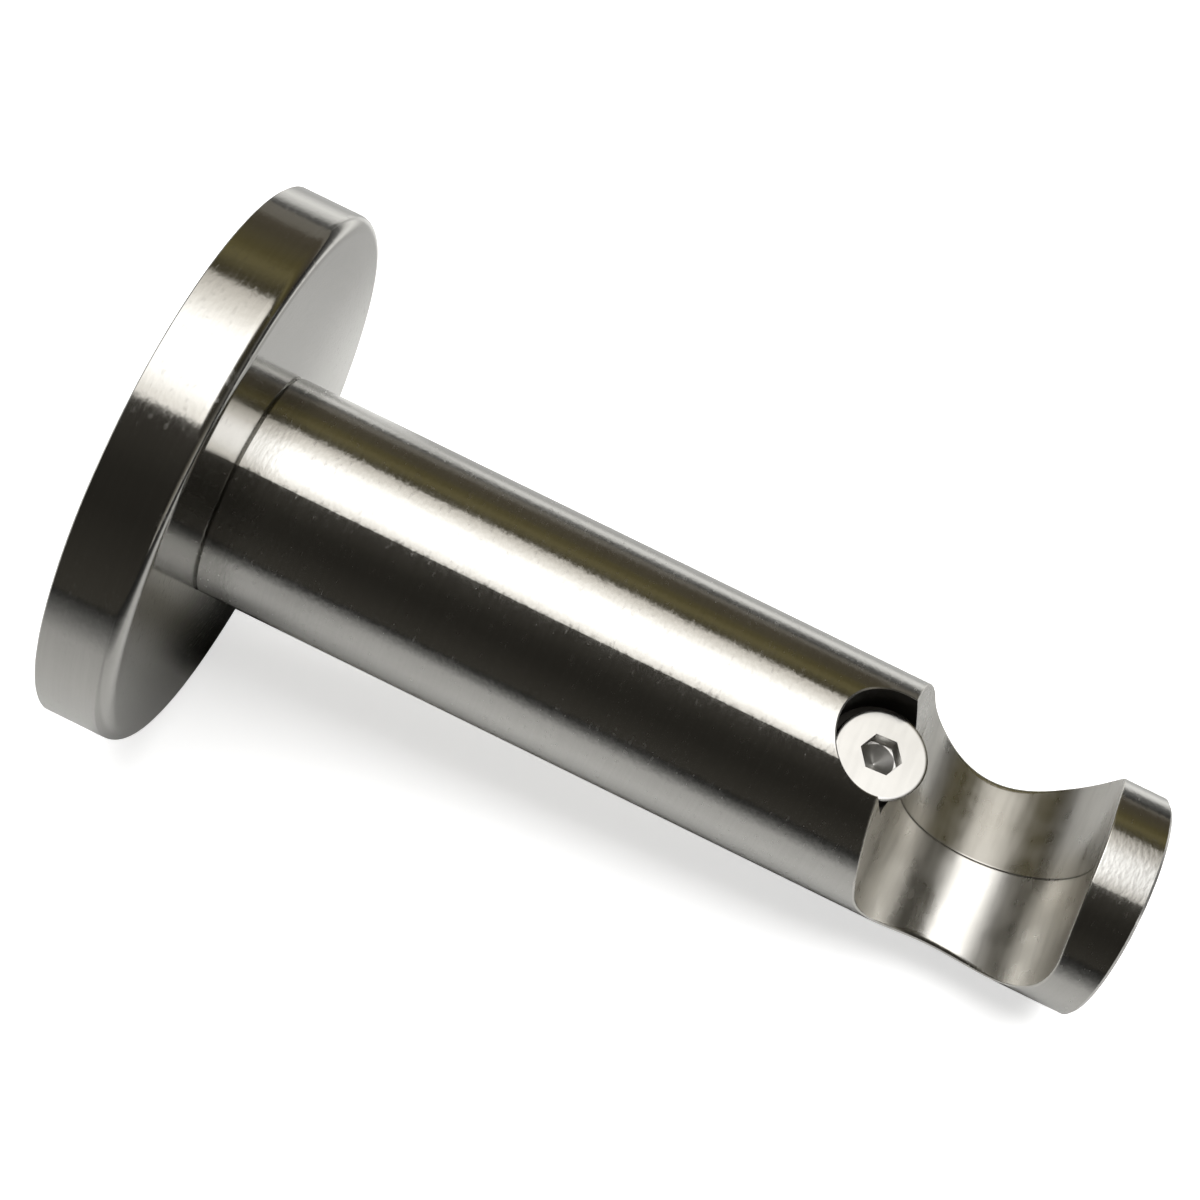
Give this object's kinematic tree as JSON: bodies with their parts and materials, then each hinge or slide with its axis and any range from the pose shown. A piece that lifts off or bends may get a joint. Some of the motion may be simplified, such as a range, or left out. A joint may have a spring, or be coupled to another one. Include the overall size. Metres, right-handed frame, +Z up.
{
  "type": "curtain pole bracket",
  "caption": "Wall bracket for a curtain pole: a round rose, a straight round arm with an upward-open pole saddle near its end, and a flat-headed clamp screw.",
  "frame": {"origin": "centre of the plane where the bracket's back meets the wall, on the arm's axis", "axes": "+Y into the wall along the arm's axis, the pole along X, +Z up out of the saddle"},
  "size_m": [0.061, 0.109, 0.061],
  "materials": {
    "rose_steel": "satin",
    "arm_steel": "satin",
    "clamp_steel": "fine turned",
    "plate_steel": "plain zinc plated",
    "screw_steel": "plain zinc plated"
  },
  "bodies": {
    "bracket": {"rose": "rose_steel", "mounting_plate": "plate_steel", "rose_grub_screw": "screw_steel", "arm": "arm_steel", "arm_screw": "screw_steel", "arm_lock_washer": "screw_steel"},
    "clamp": {"clamp_screw": "clamp_steel"}
  },
  "joints": [
    {"name": "clamp_screw_travel", "type": "slide", "parent": "bracket", "child": "clamp", "axis": [0, 0, 1], "range_m": [-0.0013, 0.005]}
  ]
}
